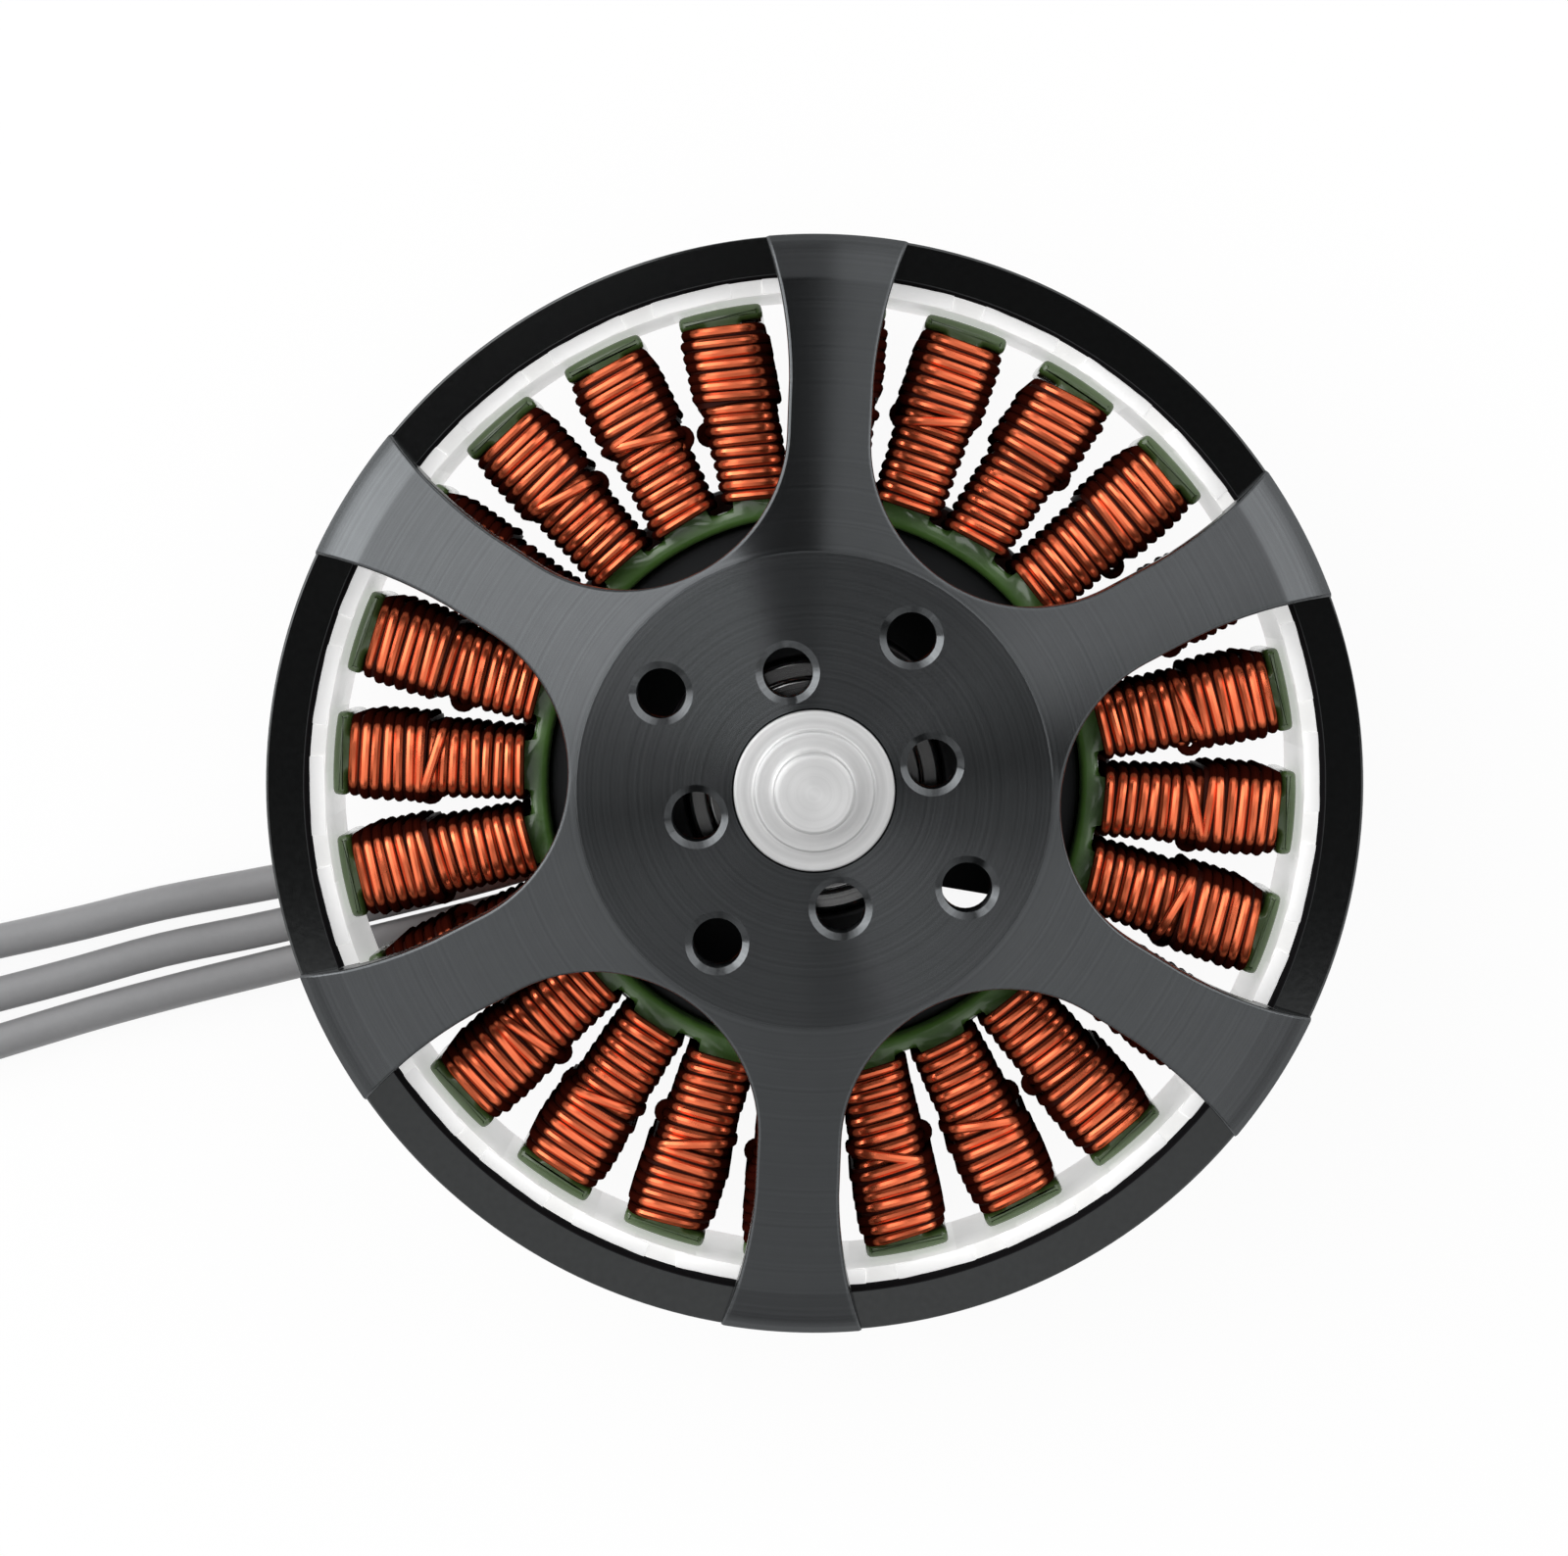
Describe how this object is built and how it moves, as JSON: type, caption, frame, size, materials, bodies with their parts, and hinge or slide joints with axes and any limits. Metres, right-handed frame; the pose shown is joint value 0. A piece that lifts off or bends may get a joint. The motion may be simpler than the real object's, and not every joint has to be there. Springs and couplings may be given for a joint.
{
  "type": "brushless drone motor",
  "caption": "Flat outrunner brushless motor for a drone: wound stator with green coated teeth inside a rotating magnet ring, open spoked top, threaded hub and wire leads.",
  "frame": {"origin": "on the shaft's axis at the underside of the base, which is the bottom centre of the motor's box without its leads", "axes": "+Z along the shaft from the base to the propeller seat, +X to the right in the picture and +Y up in it, so the leads leave towards -X"},
  "size_m": [0.1339, 0.0649, 0.0275],
  "materials": {
    "grey_anodised": "satin",
    "black_anodised": "satin",
    "blackened_steel": "satin",
    "bright_steel": "polished",
    "bearing_steel": "satin",
    "green_coating": "satin",
    "copper_wire": "gloss",
    "lead_silicone": "matte",
    "connector_gold": "gloss"
  },
  "bodies": {
    "stator": {"base_mount": "black_anodised", "stator_core": "green_coating", "coil_01": "copper_wire", "coil_02": "copper_wire", "coil_03": "copper_wire", "coil_04": "copper_wire", "coil_05": "copper_wire", "coil_06": "copper_wire", "coil_07": "copper_wire", "coil_08": "copper_wire", "coil_09": "copper_wire", "coil_10": "copper_wire", "coil_11": "copper_wire", "coil_12": "copper_wire", "coil_13": "copper_wire", "coil_14": "copper_wire", "coil_15": "copper_wire", "coil_16": "copper_wire", "coil_17": "copper_wire", "coil_18": "copper_wire", "coil_19": "copper_wire", "coil_20": "copper_wire", "coil_21": "copper_wire", "coil_22": "copper_wire", "coil_23": "copper_wire", "coil_24": "copper_wire", "lower_bearing_outer_race": "bearing_steel", "lower_bearing_balls_and_cage": "bearing_steel", "lower_bearing_lower_shield": "bearing_steel", "lower_bearing_upper_shield": "bearing_steel", "upper_bearing_outer_race": "bearing_steel", "upper_bearing_balls_and_cage": "bearing_steel", "upper_bearing_lower_shield": "bearing_steel", "upper_bearing_upper_shield": "bearing_steel", "lead_1": "lead_silicone", "connector_1": "connector_gold", "lead_2": "lead_silicone", "connector_2": "connector_gold", "lead_3": "lead_silicone", "connector_3": "connector_gold"},
    "rotor": {"bell": "grey_anodised", "flux_ring": "blackened_steel", "shaft": "bright_steel", "retaining_clip": "bright_steel", "shim_washer": "bright_steel", "lower_bearing_inner_race": "bearing_steel", "upper_bearing_inner_race": "bearing_steel"}
  },
  "joints": [
    {"name": "rotor_spin", "type": "hinge", "parent": "stator", "child": "rotor", "pos_m": [0, 0, 0.0127], "axis": [0, 0, 1], "continuous": true}
  ]
}
